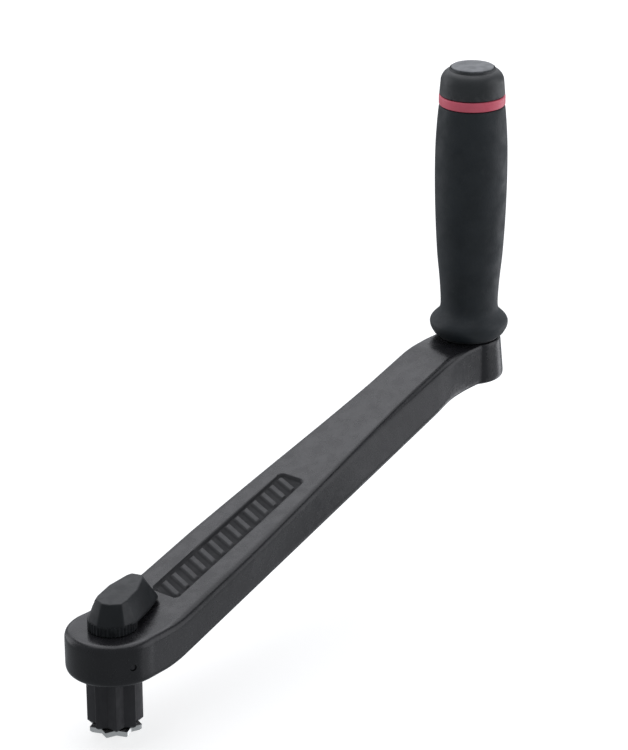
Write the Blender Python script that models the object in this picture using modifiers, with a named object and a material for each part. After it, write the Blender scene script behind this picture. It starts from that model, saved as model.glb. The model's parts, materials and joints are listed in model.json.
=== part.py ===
"""Lock-in winch handle: a forged arm with an eight-point drive stud at one end and a free-spinning grip at
the other. A thumb lever turns a lock plate under the stud, so that the handle can't lift out of its winch.

Metres, +Z up. The drive axis is X = 0, Y = 0, the arm runs along +X and rises to the boss that carries the
grip, and Z = 0 is the underside of the head, the shoulder that sits on the winch.
"""

from math import atan, atan2, cos, degrees, pi, radians, sin, sqrt

import bmesh
import bpy
from mathutils import Matrix, Vector

MM = 0.001
GAP = 0.3 * MM  # between pieces that touch

# Driving dimensions
AXIS_SPACING = 254.0 * MM  # drive axis to grip axis, a 10 inch handle
STUD_ACROSS_FLATS = 17.46 * MM  # the standard 11/16 inch drive square, two of them at 45 degrees
NOTCH_RELIEF = 0.06 * MM  # the star's inner corners are rolled slightly in
STUD_BOTTOM = -25.4 * MM
LOCK_ANGLE = radians(22.5)  # the lock plate's turn away from the stud's points when locked
LEVER_ANGLE = radians(18.0)  # the lever's rest direction, from the arm towards +Y

HEAD_RADIUS = 20.8 * MM
HEAD_TOP = 19.6 * MM
HEAD_TOP_ROUND = 3.3 * MM
HEAD_BOTTOM_ROUND = 3.0 * MM
SOCKET_TOP = 12.6 * MM  # the stud's socket in the head ends here, under a roof
ROOF_HOLE_RADIUS = 6.8 * MM

ARM_THICKNESS = 18.7 * MM
ARM_RISE_START = 21.0 * MM
ARM_RISE_END = 223.5 * MM
ARM_BEND = 6.0 * MM  # half the length over which each bend is eased
ARM_SIDE_AT_HEAD = 20.7 * MM
ARM_SIDE_AT_BOSS = 16.4 * MM
ARM_WAIST_START = 206.0 * MM  # past here the sides draw in, so that the boss stands out round
ARM_WAIST_END = 238.0 * MM
ARM_WAIST_HALF = 14.2 * MM
ARM_TOP_HALF_WIDE = 19.4 * MM
ARM_TOP_HALF_NARROW = 13.0 * MM
ARM_TAPER_START = 50.0 * MM
ARM_TAPER_END = 186.0 * MM
ARM_TOP_BEVEL = 1.7 * MM
ARM_BOTTOM_BEVEL = 2.2 * MM
LEVEL_EASE = 0.1 * MM  # how far the arm's level ends stay inside the head and the boss
PANEL_START = 33.0 * MM
PANEL_END = 121.0 * MM
PANEL_HALF_NEAR = 7.6 * MM
PANEL_HALF_FAR = 7.1 * MM
PANEL_CORNER = 3.0 * MM
PANEL_DEPTH = 1.0 * MM

BOSS_BOTTOM = 57.2 * MM
BOSS_TOP = 77.5 * MM
BOSS_TOP_RADIUS = 15.3 * MM
BOSS_BOTTOM_RADIUS = 16.8 * MM
BOSS_ROUND = 1.8 * MM
NUT_WELL_RADIUS = 10.0 * MM
NUT_WELL_TOP = 64.5 * MM
PAST = 5.0 * MM  # how far a cutter runs out of the piece it cuts

SPINDLE_RADIUS = 4.0 * MM
SPINDLE_TOP = 27.0 * MM
RUNNING_FIT = 0.12 * MM  # between a shaft and the bush it turns in
STUD_TOP = SOCKET_TOP - GAP
SPRING_WELL_RADIUS = 7.3 * MM
SPRING_WELL_FLOOR = -13.0 * MM
BUSH_RADIUS = 6.0 * MM
BUSH_TOP = -15.3 * MM
UPPER_BUSH_FLANGE_RADIUS = 8.2 * MM
UPPER_BUSH_FLANGE = 1.0 * MM
TANG_SIDE = 5.2 * MM
LOCK_PLATE_THICKNESS = 2.8 * MM
LOCK_PLATE_TOP = STUD_BOTTOM - GAP
LOCK_PLATE_BOTTOM = LOCK_PLATE_TOP - LOCK_PLATE_THICKNESS
SPRING_COIL_RADIUS = 5.9 * MM
SPRING_WIRE_RADIUS = 0.45 * MM
SPRING_BOTTOM = -12.2 * MM
SPRING_TOP = 9.2 * MM
SPRING_TURNS = 6
RETAINING_PIN_ANGLE = radians(-112.5)  # towards a notch of the star
RETAINING_PIN_HEIGHT = 9.3 * MM
RETAINING_PIN_RADIUS = 1.2 * MM

SKIRT_RADIUS = 10.8 * MM
LEVER_BASE = 22.7 * MM
LEVER_SHOULDER = 24.2 * MM
LEVER_TOP = 33.2 * MM
# One side of the lever's outlines in millimetres, along the lever and across it, from the hub to the tip
LEVER_BASE_OUTLINE = [(-10.6, 1.0), (-6.6, 8.6), (0.0, 11.2), (14.0, 11.2), (26.6, 9.8), (29.4, 6.6)]
LEVER_RIDGE_OUTLINE = [(-6.0, 0.7), (-3.4, 6.3), (1.0, 6.9), (12.0, 6.6), (23.6, 3.7), (26.2, 2.4)]
LEVER_HOLLOW_RADIUS = 8.8 * MM
LEVER_HOLLOW_TOP = HEAD_TOP + 1.8 * MM
GRUB_HEIGHT = 26.0 * MM
GRUB_RADIUS = 1.8 * MM
GRUB_START = 4.3 * MM
GRUB_END = 8.6 * MM

GRIP_SPINDLE_RADIUS = 6.0 * MM
GRIP_SPINDLE_TOP = 176.6 * MM
THREAD_RADIUS = 5.0 * MM
THREAD_BOTTOM = BOSS_BOTTOM + 0.8 * MM
SHOULDER_RADIUS = 8.5 * MM
SHOULDER_HEIGHT = 2.0 * MM
TOP_SCREW_RADIUS = 3.0 * MM
TOP_SCREW_DEPTH = 15.0 * MM
CORE_RADIUS = 11.0 * MM
CORE_BOTTOM = 80.6 * MM
CORE_TOP = 197.0 * MM
CORE_STEP_RADIUS = 7.2 * MM
BEARING_BORE = 8.6 * MM
BEARING_LENGTH = 14.6 * MM
LOWER_BEARING_BOTTOM = 81.4 * MM
UPPER_BEARING_BOTTOM = 160.6 * MM
THRUST_RADIUS = 8.2 * MM
THRUST_THICKNESS = 1.0 * MM
BASE_WASHER_RADII = (8.9 * MM, 14.6 * MM)
BASE_WASHER_THICKNESS = 0.9 * MM
TOP_WASHER_RADIUS = 8.1 * MM
TOP_WASHER_THICKNESS = 1.8 * MM
TOP_SCREW_HEAD_RADIUS = 5.0 * MM
TOP_SCREW_HEAD = 4.0 * MM
SLEEVE_BOTTOM = 79.1 * MM
SLEEVE_TOP = 192.7 * MM
SLEEVE_OUTLINE = [  # radius and height in millimetres, from the top down
    (15.4, 192.7),
    (15.7, 191.0),
    (16.4, 183.0),
    (16.95, 173.0),
    (17.1, 162.0),
    (17.0, 151.0),
    (16.7, 140.0),
    (16.2, 129.0),
    (15.5, 118.0),
    (14.5, 108.0),
    (13.9, 100.0),
    (13.7, 95.0),
    (13.9, 92.0),
    (14.7, 90.2),
    (16.2, 88.6),
    (17.7, 87.1),
    (18.6, 85.3),
    (18.6, 82.9),
    (17.5, 80.9),
    (16.6, 79.1),
]
RING_BOTTOM = 193.0 * MM
RING_TOP = 197.6 * MM
RING_RADIUS = 15.5 * MM
CAP_BOTTOM = 197.9 * MM
CAP_TOP = 211.2 * MM
CAP_FOOT_RADIUS = 15.3 * MM
CAP_RIM_RADIUS = 14.8 * MM
CAP_CROWN = 6.0 * MM
CAP_SPIGOT_BORE = 6.8 * MM
CAP_SPIGOT_BOTTOM = 186.5 * MM
CAP_ROOF = 2.0 * MM
DISC_RADIUS = 10.0 * MM
DISC_RECESS = 1.2 * MM
NUT_RADIUS = 8.6 * MM
NUT_HEIGHT = 4.6 * MM
NUT_WASHER_RADIUS = 8.8 * MM
NUT_WASHER_THICKNESS = 1.2 * MM

FINE_STEPS = 64
ROUND_STEPS = 48
SMALL_STEPS = 32


def clear_scene():
    for obj in list(bpy.data.objects):
        bpy.data.objects.remove(obj, do_unlink=True)


def new_collection(name):
    collection = bpy.data.collections.new(name)
    bpy.context.scene.collection.children.link(collection)
    return collection


def plain_material(name, colour, roughness, metallic):
    """A Principled BSDF with one colour, as (red, green, blue)."""
    material = bpy.data.materials.new(name)
    material.use_nodes = True
    shader = material.node_tree.nodes["Principled BSDF"]
    shader.inputs["Base Color"].default_value = (*colour, 1.0)
    shader.inputs["Roughness"].default_value = roughness
    shader.inputs["Metallic"].default_value = metallic
    material.diffuse_color = (*colour, 1.0)
    return material


clear_scene()
PARTS = new_collection("winch_handle")
CUTTERS = new_collection("winch_handle_cutters")
CUTTERS.hide_render = True

FORGING = {"colour": (0.020, 0.020, 0.024), "roughness": 0.45, "metallic": 0.3}
BLACK_STEEL = {"colour": (0.018, 0.018, 0.018), "roughness": 0.4, "metallic": 0.7}
STAINLESS = {"colour": (0.62, 0.62, 0.60), "roughness": 0.28, "metallic": 1.0}
NYLON = {"colour": (0.022, 0.024, 0.026), "roughness": 0.5, "metallic": 0.0}
ACETAL = {"colour": (0.70, 0.69, 0.64), "roughness": 0.45, "metallic": 0.0}
BRONZE = {"colour": (0.55, 0.36, 0.14), "roughness": 0.4, "metallic": 1.0}
SOFT_RUBBER = {"colour": (0.018, 0.022, 0.025), "roughness": 0.7, "metallic": 0.0}
RED_PLASTIC = {"colour": (0.62, 0.05, 0.06), "roughness": 0.4, "metallic": 0.0}


def finish(obj, look):
    """Gives the object its own material, and smooth shading across its shallow edges."""
    obj.data.materials.clear()
    obj.data.materials.append(plain_material(obj.name, **look))
    obj.data.shade_smooth()
    obj.data.set_sharp_from_angle(angle=radians(32))
    return obj


def object_from(name, bm, parent=None):
    """A parts object with this mesh, under its joint's empty if it has one."""
    mesh = bpy.data.meshes.new(name)
    bmesh.ops.recalc_face_normals(bm, faces=bm.faces)
    bm.to_mesh(mesh)
    bm.free()
    obj = bpy.data.objects.new(name, mesh)
    PARTS.objects.link(obj)
    obj.parent = parent
    return obj


def make_cutter(obj):
    PARTS.objects.unlink(obj)
    CUTTERS.objects.link(obj)
    obj.hide_render = True
    obj.display_type = "WIRE"
    return obj


def combine(obj, other, operation, solver="EXACT"):
    """A Boolean of obj with other, which becomes a cutter."""
    make_cutter(other)
    modifier = obj.modifiers.new(other.name, "BOOLEAN")
    modifier.operation = operation
    modifier.solver = solver
    modifier.object = other
    return obj


def cut(obj, *others, solver="EXACT"):
    for other in others:
        combine(obj, other, "DIFFERENCE", solver)
    return obj


def empty_at(name, location):
    empty = bpy.data.objects.new(name, None)
    empty.location = location
    PARTS.objects.link(empty)
    return empty


def turned(name, profile, steps=ROUND_STEPS, parent=None):
    """A profile of (radius, height) points turned about Z. It starts at the top and runs down the outside,
    and it closes on itself unless it starts on the axis."""
    bm = bmesh.new()
    points = [bm.verts.new((radius, 0.0, height)) for radius, height in profile]
    for one, following in zip(points, points[1:]):
        bm.edges.new((one, following))
    if profile[0][0] > 0.0:
        bm.edges.new((points[-1], points[0]))
    mesh = bpy.data.meshes.new(name)
    bm.to_mesh(mesh)
    bm.free()
    obj = bpy.data.objects.new(name, mesh)
    PARTS.objects.link(obj)
    obj.parent = parent
    screw = obj.modifiers.new("turn", "SCREW")
    screw.axis = "Z"
    screw.angle = 2 * pi
    screw.steps = steps
    screw.render_steps = steps
    screw.use_merge_vertices = True
    screw.merge_threshold = 0.00001
    return obj


def disc(name, radius, bottom, top, steps=SMALL_STEPS, parent=None):
    return turned(name, [(0.0, top), (radius, top), (radius, bottom), (0.0, bottom)], steps, parent)


def tube(name, inner, outer, bottom, top, steps=SMALL_STEPS, parent=None):
    profile = [(inner, top), (outer, top), (outer, bottom), (inner, bottom)]
    return turned(name, profile, steps, parent)


def stepped_cutter(name, steps):
    """A turned cutter of (radius, top, bottom) steps, from the top down."""
    profile = [(0.0, steps[0][1])]
    for radius, top, bottom in steps:
        profile += [(radius, top), (radius, bottom)]
    profile.append((0.0, steps[-1][2]))
    return turned(name, profile, SMALL_STEPS)


def arc(centre_radius, centre_height, radius, start, end, count):
    """Points of an arc in a profile, with its angles in degrees from straight out."""
    angles = [radians(start + (end - start) * i / count) for i in range(count + 1)]
    return [(centre_radius + radius * cos(a), centre_height + radius * sin(a)) for a in angles]


def prism(name, sides, radius, bottom, top, turn=0.0, parent=None):
    """A regular prism, its corners at this radius and the first of them turned from +X."""
    bm = bmesh.new()
    bmesh.ops.create_cone(
        bm,
        cap_ends=True,
        segments=sides,
        radius1=radius,
        radius2=radius,
        depth=top - bottom,
        matrix=Matrix.Translation((0, 0, (top + bottom) / 2)) @ Matrix.Rotation(turn, 4, "Z"),
    )
    return object_from(name, bm, parent)


def rod(name, start, end, radius, sides=16, parent=None):
    """A cylinder between two points."""
    along = Vector(end) - Vector(start)
    place = Matrix.Translation((Vector(start) + Vector(end)) / 2)
    turn = along.to_track_quat("Z", "Y").to_matrix().to_4x4()
    bm = bmesh.new()
    bmesh.ops.create_cone(
        bm,
        cap_ends=True,
        segments=sides,
        radius1=radius,
        radius2=radius,
        depth=along.length,
        matrix=place @ turn,
    )
    return object_from(name, bm, parent)


def mesh_of_curve(name, curve, parent):
    """The curve's evaluated shape as a closed mesh object, its loose caps welded."""
    helper = bpy.data.objects.new(name + "_curve", curve)
    PARTS.objects.link(helper)
    bpy.context.view_layer.update()
    mesh = bpy.data.meshes.new_from_object(helper.evaluated_get(bpy.context.evaluated_depsgraph_get()))
    bpy.data.objects.remove(helper)
    bm = bmesh.new()
    bm.from_mesh(mesh)
    bpy.data.meshes.remove(mesh)
    bmesh.ops.remove_doubles(bm, verts=bm.verts, dist=0.000001)
    return object_from(name, bm, parent)


def plate(name, outline, bottom, top, parent=None):
    """A flat outline in X and Y, extruded from bottom to top."""
    curve = bpy.data.curves.new(name, "CURVE")
    curve.dimensions = "2D"
    curve.fill_mode = "BOTH"
    curve.extrude = (top - bottom) / 2
    spline = curve.splines.new("POLY")
    spline.points.add(len(outline) - 1)
    for point, (x, y) in zip(spline.points, outline):
        point.co = (x, y, 0.0, 1.0)
    spline.use_cyclic_u = True
    obj = mesh_of_curve(name, curve, parent)
    obj.data.transform(Matrix.Translation((0, 0, (top + bottom) / 2)))
    return obj


def loft(name, sections, parent=None):
    """A closed solid through sections of points, all with the same number of points in the same order."""
    bm = bmesh.new()
    rings = [[bm.verts.new(point) for point in section] for section in sections]
    for ring, following in zip(rings, rings[1:]):
        for i in range(len(ring)):
            j = (i + 1) % len(ring)
            bm.faces.new((ring[i], ring[j], following[j], following[i]))
    bm.faces.new(rings[0])
    bm.faces.new(rings[-1])
    return object_from(name, bm, parent)


def star(name, bottom, top, turn=0.0, grow=0.0, parent=None):
    """Two crossed squares, with eight points: a sixteen-sided prism with every other side edge drawn in."""
    half = STUD_ACROSS_FLATS / 2 + grow
    point, notch = half * sqrt(2), half / cos(radians(22.5)) - NOTCH_RELIEF
    prism_turn = Matrix.Rotation(turn, 4, "Z")
    bm = bmesh.new()
    bmesh.ops.create_cone(
        bm,
        cap_ends=True,
        segments=16,
        radius1=point,
        radius2=point,
        depth=top - bottom,
        matrix=Matrix.Translation((0, 0, (top + bottom) / 2)),
    )
    for corner in bm.verts:
        step = round(degrees(atan2(corner.co.y, corner.co.x)) / 22.5)
        if step % 2:
            corner.co.xy *= notch / point
        corner.co = prism_turn @ corner.co
    return object_from(name, bm, parent)


# The arm


def slope():
    return (BOSS_TOP - HEAD_TOP) / (ARM_RISE_END - ARM_RISE_START)


def eased(x, start):
    """How far x has gone past start, eased over the bend at it."""
    past = x - start
    if past <= -ARM_BEND:
        return 0.0
    if past >= ARM_BEND:
        return past
    return (past + ARM_BEND) ** 2 / (4 * ARM_BEND)


def arm_top(x):
    """The height of the arm's top face: level in the head, rising, and level again in the boss."""
    return HEAD_TOP - LEVEL_EASE + slope() * (eased(x, ARM_RISE_START) - eased(x, ARM_RISE_END))


def arm_bottom(x):
    start = ARM_RISE_START - (HEAD_TOP - ARM_THICKNESS) / slope()
    end = start + (BOSS_BOTTOM / slope())
    return LEVEL_EASE + slope() * (eased(x, start) - eased(x, end))


def arm_section(x):
    """The arm's section: the top narrows towards the boss, and the bottom only just before it."""
    share = min(max((x - ARM_TAPER_START) / (ARM_TAPER_END - ARM_TAPER_START), 0.0), 1.0)
    side = ARM_SIDE_AT_HEAD + (ARM_SIDE_AT_BOSS - ARM_SIDE_AT_HEAD) * x / AXIS_SPACING
    waist = min(max((x - ARM_WAIST_START) / (ARM_WAIST_END - ARM_WAIST_START), 0.0), 1.0)
    side += (ARM_WAIST_HALF - side) * waist
    top_side = min(side, ARM_TOP_HALF_WIDE + (ARM_TOP_HALF_NARROW - ARM_TOP_HALF_WIDE) * share)
    top, bottom = arm_top(x), arm_bottom(x)
    half = [
        (top_side - ARM_TOP_BEVEL, top),
        (top_side, top - ARM_TOP_BEVEL),
        (side, bottom + ARM_BOTTOM_BEVEL),
        (side - ARM_BOTTOM_BEVEL, bottom),
    ]
    return [(x, y, z) for y, z in half] + [(x, -y, z) for y, z in reversed(half)]


def arm_stations():
    """Closer together over the bends."""
    head_bend = [13.0, 19.0, 25.0]
    boss_bend = [208.0, 214.0, 220.0, 226.0, 232.0, 238.0]
    straight = [0.0, ARM_TAPER_START, 110.0 * MM, 150.0 * MM, ARM_TAPER_END, AXIS_SPACING]
    return sorted(straight + [x * MM for x in head_bend + boss_bend])


def head_solid():
    profile = [(0.0, HEAD_TOP)]
    profile += arc(HEAD_RADIUS - HEAD_TOP_ROUND, HEAD_TOP - HEAD_TOP_ROUND, HEAD_TOP_ROUND, 90, 0, 3)
    profile += arc(HEAD_RADIUS - HEAD_BOTTOM_ROUND, HEAD_BOTTOM_ROUND, HEAD_BOTTOM_ROUND, 0, -90, 3)
    profile.append((0.0, 0.0))
    return turned("head_solid", profile, FINE_STEPS)


def boss_solid():
    profile = [
        (0.0, BOSS_TOP),
        (BOSS_TOP_RADIUS - 0.5 * MM, BOSS_TOP),
        (BOSS_TOP_RADIUS, BOSS_TOP - 0.5 * MM),
    ]
    profile += arc(BOSS_BOTTOM_RADIUS - BOSS_ROUND, BOSS_BOTTOM + BOSS_ROUND, BOSS_ROUND, 0, -90, 3)
    profile.append((0.0, BOSS_BOTTOM))
    boss = turned("boss_solid", profile, FINE_STEPS)
    boss.location.x = AXIS_SPACING
    return boss


def panel_cutter():
    """The plain recessed panel on top of the arm, square to the sloping face."""
    start, end = PANEL_START - ARM_RISE_START, PANEL_END - ARM_RISE_START
    outline = [
        (start, -PANEL_HALF_NEAR + PANEL_CORNER),
        (start + PANEL_CORNER, -PANEL_HALF_NEAR),
        (end - PANEL_CORNER, -PANEL_HALF_FAR),
        (end, -PANEL_HALF_FAR + PANEL_CORNER),
    ]
    outline += [(x, -y) for x, y in reversed(outline)]
    panel = plate("panel_cutter", outline, -PANEL_DEPTH, PAST)
    panel.location = (ARM_RISE_START, 0.0, HEAD_TOP)
    panel.rotation_euler.y = -atan(slope())
    return panel


def pin_line(start, end):
    """Two points at these radii on the line of the stud's retaining pin."""
    across = (cos(RETAINING_PIN_ANGLE), sin(RETAINING_PIN_ANGLE))
    return [(r * across[0], r * across[1], RETAINING_PIN_HEIGHT) for r in (start, end)]


def build_arm():
    arm = loft("arm", [arm_section(x) for x in arm_stations()])
    combine(arm, head_solid(), "UNION", "MANIFOLD")
    combine(arm, boss_solid(), "UNION", "MANIFOLD")
    boss_bore = stepped_cutter(
        "boss_bore",
        [
            (THREAD_RADIUS + GAP, BOSS_TOP + PAST, NUT_WELL_TOP),
            (NUT_WELL_RADIUS, NUT_WELL_TOP, BOSS_BOTTOM - PAST),
        ],
    )
    boss_bore.location.x = AXIS_SPACING
    socket = star("stud_socket", -PAST, SOCKET_TOP, grow=GAP)
    roof_hole = disc("roof_hole", ROOF_HOLE_RADIUS, SOCKET_TOP - PAST, HEAD_TOP + PAST)
    pin_hole = rod("arm_pin_hole", *pin_line(9.0 * MM, HEAD_RADIUS + PAST), RETAINING_PIN_RADIUS + GAP)
    cut(arm, panel_cutter(), socket, roof_hole, pin_hole, boss_bore, solver="MANIFOLD")
    return finish(arm, FORGING)


# The drive stud and its lock


def build_drive_stud():
    stud = star("drive_stud", STUD_BOTTOM, STUD_TOP)
    neck_bottom = BUSH_TOP + GAP
    bore = stepped_cutter(
        "stud_bore",
        [
            (SPRING_WELL_RADIUS, STUD_TOP + PAST, SPRING_WELL_FLOOR),
            (SPINDLE_RADIUS + 1.0 * MM, SPRING_WELL_FLOOR, neck_bottom),
            (BUSH_RADIUS + GAP, neck_bottom, STUD_BOTTOM - PAST),
        ],
    )
    pin_hole = rod("stud_pin_hole", *pin_line(6.0 * MM, 15.0 * MM), RETAINING_PIN_RADIUS + GAP)
    cut(stud, bore, pin_hole)
    return finish(stud, BLACK_STEEL)


def build_retaining_pin():
    line = pin_line(7.8 * MM, HEAD_RADIUS - 0.6 * MM)
    return finish(rod("stud_retaining_pin", *line, RETAINING_PIN_RADIUS), BLACK_STEEL)


def build_spindle_bushes():
    bore = SPINDLE_RADIUS + RUNNING_FIT
    lower = tube("spindle_bush_lower", bore, BUSH_RADIUS, STUD_BOTTOM + GAP, BUSH_TOP)
    collar = ROOF_HOLE_RADIUS - GAP
    seat = HEAD_TOP + GAP
    profile = [
        (bore, seat + UPPER_BUSH_FLANGE),
        (UPPER_BUSH_FLANGE_RADIUS, seat + UPPER_BUSH_FLANGE),
        (UPPER_BUSH_FLANGE_RADIUS, seat),
        (collar, seat),
        (collar, SOCKET_TOP + GAP),
        (bore, SOCKET_TOP + GAP),
    ]
    upper = turned("spindle_bush_upper", profile, SMALL_STEPS)
    for bush in (lower, upper):
        finish(bush, BRONZE)


def build_o_ring():
    radius, wire = 5.2 * MM, 0.9 * MM
    profile = arc(radius, SOCKET_TOP - 1.6 * MM, wire, 90, -270, 10)[:-1]
    return finish(turned("spindle_o_ring", profile, 24), SOFT_RUBBER)


def build_return_spring():
    """The torsion spring round the lock spindle, with a leg turned out at the bottom and in at the top."""
    per_turn = 12
    count = SPRING_TURNS * per_turn
    points = []
    for i in range(count + 1):
        angle = 2 * pi * i / per_turn
        height = SPRING_BOTTOM + (SPRING_TOP - SPRING_BOTTOM) * i / count
        points.append((SPRING_COIL_RADIUS * cos(angle), SPRING_COIL_RADIUS * sin(angle), height))
    leg_out = (SPRING_COIL_RADIUS + 0.7 * MM, -1.2 * MM, SPRING_BOTTOM)
    leg_in = (SPRING_COIL_RADIUS - 1.1 * MM, 1.2 * MM, SPRING_TOP + 0.1 * MM)
    points = [leg_out, *points, leg_in]
    curve = bpy.data.curves.new("return_spring", "CURVE")
    curve.dimensions = "3D"
    curve.bevel_depth = SPRING_WIRE_RADIUS
    curve.bevel_resolution = 2
    curve.use_fill_caps = True
    spline = curve.splines.new("POLY")
    spline.points.add(len(points) - 1)
    for point, place in zip(spline.points, points):
        point.co = (*place, 1.0)
    return finish(mesh_of_curve("return_spring", curve, None), STAINLESS)


def build_lock_spindle(axis):
    """A rod with a square tang below that turns the lock plate, and a threaded hole for its screw."""
    spindle = disc("lock_spindle", SPINDLE_RADIUS, LOCK_PLATE_TOP + 0.2 * MM, SPINDLE_TOP, parent=axis)
    tang_bottom = LOCK_PLATE_BOTTOM + 0.3 * MM
    tang = prism("tang", 4, TANG_SIDE / sqrt(2), tang_bottom, LOCK_PLATE_TOP + 1.0 * MM, LOCK_ANGLE)
    combine(spindle, tang, "UNION")
    cut(spindle, disc("screw_hole", 1.8 * MM, tang_bottom - 1.0 * MM, tang_bottom + 9.0 * MM, 16))
    return finish(spindle, STAINLESS)


def build_lock_plate(axis):
    lock_plate = star("lock_plate", LOCK_PLATE_BOTTOM, LOCK_PLATE_TOP, LOCK_ANGLE, parent=axis)
    hole_corner = (TANG_SIDE + 2 * GAP) / sqrt(2)
    hole = prism("tang_hole", 4, hole_corner, LOCK_PLATE_BOTTOM - MM, LOCK_PLATE_TOP + MM, LOCK_ANGLE)
    return finish(cut(lock_plate, hole), STAINLESS)


def build_lock_plate_screw(axis):
    head_top = LOCK_PLATE_BOTTOM - GAP
    head_bottom = head_top - 1.5 * MM
    screw = turned(
        "lock_plate_screw",
        [
            (0.0, LOCK_PLATE_BOTTOM + 8.0 * MM),
            (1.5 * MM, LOCK_PLATE_BOTTOM + 8.0 * MM),
            (1.5 * MM, head_top),
            (4.4 * MM, head_top),
            (4.4 * MM, head_bottom + 0.5 * MM),
            (3.9 * MM, head_bottom),
            (0.0, head_bottom),
        ],
        24,
        axis,
    )
    cut(screw, prism("plate_screw_key", 6, 1.4 * MM, head_bottom - MM, head_bottom + 1.0 * MM))
    return finish(screw, STAINLESS)


def lever_outline(side, height):
    """The whole outline at this height, from the points of one side."""
    half = [(x * MM, y * MM, height) for x, y in side]
    return half + [(x, -y, z) for x, y, z in reversed(half)]


def build_lever(axis):
    """A faceted thumb lever: a slab over the head, its sides sloping in to a narrow flat ridge."""
    lever = loft(
        "lock_lever",
        [
            lever_outline(LEVER_BASE_OUTLINE, LEVER_BASE),
            lever_outline(LEVER_BASE_OUTLINE, LEVER_SHOULDER),
            lever_outline(LEVER_RIDGE_OUTLINE, LEVER_TOP),
        ],
        axis,
    )
    skirt = disc("lever_skirt", SKIRT_RADIUS, HEAD_TOP + GAP, LEVER_BASE + MM, ROUND_STEPS)
    combine(lever, skirt, "UNION")
    bore = stepped_cutter(
        "lever_bore",
        [
            (SPINDLE_RADIUS + GAP, SPINDLE_TOP + GAP, LEVER_HOLLOW_TOP),
            (LEVER_HOLLOW_RADIUS, LEVER_HOLLOW_TOP, HEAD_TOP - MM),
        ],
    )
    grub_line = (0, SPINDLE_RADIUS / 2, GRUB_HEIGHT), (0, SKIRT_RADIUS + PAST, GRUB_HEIGHT)
    grub_hole = rod("grub_hole", *grub_line, GRUB_RADIUS + GAP)
    for round_piece in (skirt, bore, grub_hole):
        round_piece.parent = axis
    return finish(cut(lever, bore, grub_hole), NYLON)


def build_grub_screw(axis):
    """It clamps the lever to the spindle from the side away from the thumb."""
    line = (0.0, GRUB_START, GRUB_HEIGHT), (0.0, GRUB_END, GRUB_HEIGHT)
    grub = rod("lever_grub_screw", *line, GRUB_RADIUS, parent=axis)
    key_line = (0.0, GRUB_END - 2.0 * MM, GRUB_HEIGHT), (0.0, GRUB_END + MM, GRUB_HEIGHT)
    key = rod("grub_key", *key_line, 1.0 * MM, 6)
    key.parent = axis
    return finish(cut(grub, key), STAINLESS)


# The grip


def build_grip_spindle(axis):
    """Fixed in the boss: thread, shoulder, journal, and a threaded hole in its top."""
    shoulder_bottom = BOSS_TOP + GAP
    profile = [
        (0.0, GRIP_SPINDLE_TOP),
        (GRIP_SPINDLE_RADIUS, GRIP_SPINDLE_TOP),
        (GRIP_SPINDLE_RADIUS, shoulder_bottom + SHOULDER_HEIGHT),
        (SHOULDER_RADIUS, shoulder_bottom + SHOULDER_HEIGHT),
        (SHOULDER_RADIUS, shoulder_bottom),
        (THREAD_RADIUS, shoulder_bottom),
        (THREAD_RADIUS, THREAD_BOTTOM),
        (0.0, THREAD_BOTTOM),
    ]
    spindle = turned("grip_spindle", profile, SMALL_STEPS, axis)
    hole_bottom = GRIP_SPINDLE_TOP - TOP_SCREW_DEPTH - MM
    hole = disc("top_screw_hole", TOP_SCREW_RADIUS + GAP, hole_bottom, GRIP_SPINDLE_TOP + MM, 16)
    hole.parent = axis
    return finish(cut(spindle, hole), STAINLESS)


def build_boss_fixings(axis):
    bore = THREAD_RADIUS + GAP
    washer_top = NUT_WELL_TOP - GAP
    washer_bottom = washer_top - NUT_WASHER_THICKNESS
    washer = tube("spindle_washer", bore, NUT_WASHER_RADIUS, washer_bottom, washer_top, parent=axis)
    nut_top = washer_bottom - GAP
    nut = prism("spindle_nut", 6, NUT_RADIUS, nut_top - NUT_HEIGHT, nut_top, parent=axis)
    nut_bore = disc("nut_bore", bore, BOSS_BOTTOM - PAST, NUT_WELL_TOP)
    nut_bore.parent = axis
    for piece in (washer, cut(nut, nut_bore)):
        finish(piece, STAINLESS)


def build_bearings(axis):
    """Plain bushes and thrust washers that the grip runs on."""
    base_bottom = BOSS_TOP + GAP
    base_top = base_bottom + BASE_WASHER_THICKNESS
    base = tube("base_washer", *BASE_WASHER_RADII, base_bottom, base_top, ROUND_STEPS, axis)
    finish(base, NYLON)
    bore = GRIP_SPINDLE_RADIUS + RUNNING_FIT
    lower_thrust_top = LOWER_BEARING_BOTTOM - GAP
    upper_thrust_bottom = UPPER_BEARING_BOTTOM + BEARING_LENGTH + GAP
    for name, radius, bottom, length in (
        ("thrust_washer_lower", THRUST_RADIUS, lower_thrust_top - THRUST_THICKNESS, THRUST_THICKNESS),
        ("grip_bush_lower", BEARING_BORE - GAP, LOWER_BEARING_BOTTOM, BEARING_LENGTH),
        ("grip_bush_upper", BEARING_BORE - GAP, UPPER_BEARING_BOTTOM, BEARING_LENGTH),
        ("thrust_washer_upper", THRUST_RADIUS, upper_thrust_bottom, THRUST_THICKNESS),
    ):
        finish(tube(name, bore, radius, bottom, bottom + length, parent=axis), ACETAL)


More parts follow.
